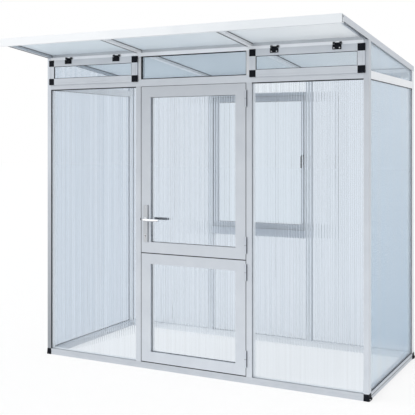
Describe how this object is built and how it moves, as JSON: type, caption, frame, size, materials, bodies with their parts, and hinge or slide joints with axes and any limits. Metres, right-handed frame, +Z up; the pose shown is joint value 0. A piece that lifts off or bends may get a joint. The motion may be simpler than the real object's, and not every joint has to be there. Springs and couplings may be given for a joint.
{
  "type": "greenhouse",
  "caption": "Lean-roofed aluminium greenhouse with a split glazed door, top-hung front vents, a rear window and a deep roof overhang",
  "frame": {"origin": "ground level, in the middle of the overall plan, roof overhang and rear hinges included", "axes": "+X along the width, to the right as seen from the front; +Y from the front to the rear; +Z up"},
  "size_m": [2.524, 1.71, 2.338],
  "materials": {
    "mill_aluminium": "mill-finish extruded aluminium",
    "pale_fascia": "pale coated aluminium",
    "handle_metal": "satin handle metal",
    "lock_steel": "zinc-plated steel",
    "black_nylon": "moulded black nylon",
    "twin_wall": "clear twin-wall polycarbonate",
    "clear_glass": "clear safety glass"
  },
  "bodies": {
    "frame": {"base_rail_front": "mill_aluminium", "base_rail_back": "mill_aluminium", "base_rail_left": "mill_aluminium", "base_rail_right": "mill_aluminium", "corner_post_front_left": "mill_aluminium", "corner_post_front_right": "mill_aluminium", "corner_post_back_left": "mill_aluminium", "corner_post_back_right": "mill_aluminium", "door_post_left": "mill_aluminium", "door_post_right": "mill_aluminium", "back_post_left": "mill_aluminium", "back_post_right": "mill_aluminium", "transom_front": "mill_aluminium", "transom_back": "mill_aluminium", "transom_left": "mill_aluminium", "transom_right": "mill_aluminium", "head_rail_front": "mill_aluminium", "roof_verge_left": "mill_aluminium", "roof_verge_right": "mill_aluminium", "roof_bar_left": "mill_aluminium", "roof_bar_right": "mill_aluminium", "roof_rear_rail": "mill_aluminium", "window_frame": "mill_aluminium", "roof_fascia": "pale_fascia", "foot_front_left": "black_nylon", "foot_front_right": "black_nylon", "foot_back_left": "black_nylon", "foot_back_right": "black_nylon", "roof_pane_left": "twin_wall", "roof_pane_middle": "twin_wall", "roof_pane_right": "twin_wall", "side_pane_left": "twin_wall", "side_pane_right": "twin_wall", "gable_pane_left": "twin_wall", "gable_pane_right": "twin_wall", "back_pane_left": "twin_wall", "back_pane_right": "twin_wall", "window_breast_pane": "twin_wall", "window_top_pane": "twin_wall", "front_pane_left": "clear_glass", "front_pane_right": "clear_glass", "door_fanlight": "clear_glass"},
    "upper_leaf": {"upper_leaf_frame": "mill_aluminium", "upper_leaf_glass": "clear_glass", "lock_case": "lock_steel", "lock_cylinder": "lock_steel", "backplate_outer": "handle_metal", "backplate_inner": "handle_metal"},
    "levers": {"outer_lever": "handle_metal", "inner_lever": "handle_metal"},
    "latch": {"latch_bolt": "lock_steel"},
    "lower_leaf": {"lower_leaf_frame": "mill_aluminium", "lower_leaf_glass": "clear_glass"},
    "left_vent": {"left_vent_frame": "mill_aluminium", "left_vent_pane": "clear_glass"},
    "right_vent": {"right_vent_frame": "mill_aluminium", "right_vent_pane": "clear_glass"},
    "window": {"window_sash": "mill_aluminium", "window_pane": "clear_glass"},
    "window_handle": {"window_handle": "black_nylon"}
  },
  "joints": [
    {"name": "upper_leaf_hinge", "type": "hinge", "parent": "frame", "child": "upper_leaf", "pos_m": [0.4115, -0.338, 0.8245], "axis": [0, 0, 1], "range_deg": [0, 110]},
    {"name": "lower_leaf_hinge", "type": "hinge", "parent": "frame", "child": "lower_leaf", "pos_m": [0.4115, -0.338, 0.0465], "axis": [0, 0, 1], "range_deg": [0, 110]},
    {"name": "lever_turn", "type": "hinge", "parent": "upper_leaf", "child": "levers", "pos_m": [-0.371, -0.3075, 1.0605], "axis": [0, 1, 0], "range_deg": [0, 45], "stiffness_Nm_per_rad": 1, "springref_deg": -20.05},
    {"name": "latch_slide", "type": "slide", "parent": "upper_leaf", "child": "latch", "axis": [1, 0, 0], "range_m": [0, 0.008]},
    {"name": "left_vent_hinge", "type": "hinge", "parent": "frame", "child": "left_vent", "pos_m": [-0.834, -0.3353, 2.2335], "axis": [-1, 0, 0], "range_deg": [0, 60]},
    {"name": "right_vent_hinge", "type": "hinge", "parent": "frame", "child": "right_vent", "pos_m": [0.834, -0.3353, 2.2335], "axis": [-1, 0, 0], "range_deg": [0, 60]},
    {"name": "window_hinge", "type": "hinge", "parent": "frame", "child": "window", "pos_m": [-0.4012, 0.848, 0.913], "axis": [0, 0, 1], "range_deg": [0, 90]},
    {"name": "window_handle_turn", "type": "hinge", "parent": "window", "child": "window_handle", "pos_m": [0.3837, 0.7997, 1.5], "axis": [0, 1, 0], "range_deg": [0, 90]}
  ],
  "couplings": [
    {"joint": "latch_slide", "follows": "lever_turn", "m_per_rad": 0.010185}
  ]
}
